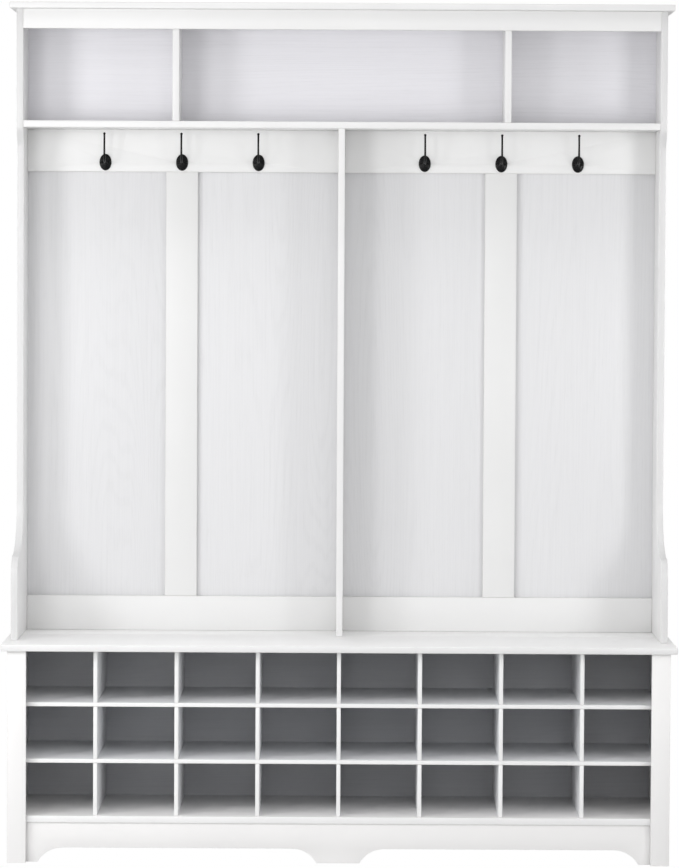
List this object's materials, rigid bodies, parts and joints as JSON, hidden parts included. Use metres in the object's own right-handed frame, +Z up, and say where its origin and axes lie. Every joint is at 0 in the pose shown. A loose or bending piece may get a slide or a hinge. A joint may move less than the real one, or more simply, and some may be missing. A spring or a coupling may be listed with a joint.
{
  "type": "hall tree with hooks",
  "caption": "White hall tree: a shoe bench divided into cubbies, with a hutch above it that has coat hooks, a shelf and open top compartments.",
  "frame": {"origin": "on the floor, under the middle of the bench top's outline", "axes": "+Z up (the longest extent), the front faces -Y and the back is towards +Y (the shortest extent), +X is to the right of someone facing the front"},
  "size_m": [1.524, 0.4, 1.951],
  "materials": {
    "white_foil_board": "smooth white foil on fibreboard, satin",
    "white_grid_board": "smooth white melamine on thin board, satin",
    "white_grained_panel": "white paper with an embossed wood grain on thin fibreboard, satin",
    "white_plastic": "extruded white plastic, matte",
    "black_enamel": "glossy black enamel on cast metal",
    "black_screw": "black coated steel, satin",
    "beech_dowel": "bare turned beech"
  },
  "bodies": {
    "root": {"base_side_left": "white_foil_board", "base_side_right": "white_foil_board", "stile_left": "white_foil_board", "stile_right": "white_foil_board", "bench_top": "white_foil_board", "base_bottom": "white_foil_board", "apron": "white_foil_board", "rear_plinth": "white_foil_board", "center_support": "white_foil_board", "hutch_side_left": "white_foil_board", "hutch_side_right": "white_foil_board", "hutch_divider": "white_foil_board", "crown_top": "white_foil_board", "fascia": "white_foil_board", "hutch_shelf": "white_foil_board", "shelf_divider_left": "white_foil_board", "shelf_divider_right": "white_foil_board", "hook_rail_left": "white_foil_board", "hook_rail_right": "white_foil_board", "bottom_rail_left": "white_foil_board", "bottom_rail_right": "white_foil_board", "batten_left": "white_foil_board", "batten_right": "white_foil_board", "cubby_divider_1": "white_grid_board", "cubby_divider_2": "white_grid_board", "cubby_divider_3": "white_grid_board", "cubby_divider_4": "white_grid_board", "cubby_divider_5": "white_grid_board", "cubby_divider_6": "white_grid_board", "cubby_divider_7": "white_grid_board", "cubby_shelf_lower": "white_grid_board", "cubby_shelf_upper": "white_grid_board", "base_back_left": "white_grained_panel", "base_back_right": "white_grained_panel", "back_panel_1": "white_grained_panel", "back_panel_2": "white_grained_panel", "back_panel_3": "white_grained_panel", "back_panel_4": "white_grained_panel", "upper_back_panel": "white_grained_panel", "back_joiner": "white_plastic", "hook_1": "black_enamel", "hook_2": "black_enamel", "hook_3": "black_enamel", "hook_4": "black_enamel", "hook_5": "black_enamel", "hook_6": "black_enamel", "hook_screw_1a": "black_screw", "hook_screw_1b": "black_screw", "hook_screw_2a": "black_screw", "hook_screw_2b": "black_screw", "hook_screw_3a": "black_screw", "hook_screw_3b": "black_screw", "hook_screw_4a": "black_screw", "hook_screw_4b": "black_screw", "hook_screw_5a": "black_screw", "hook_screw_5b": "black_screw", "hook_screw_6a": "black_screw", "hook_screw_6b": "black_screw", "dowel_left": "beech_dowel", "dowel_right": "beech_dowel"}
  },
  "joints": []
}
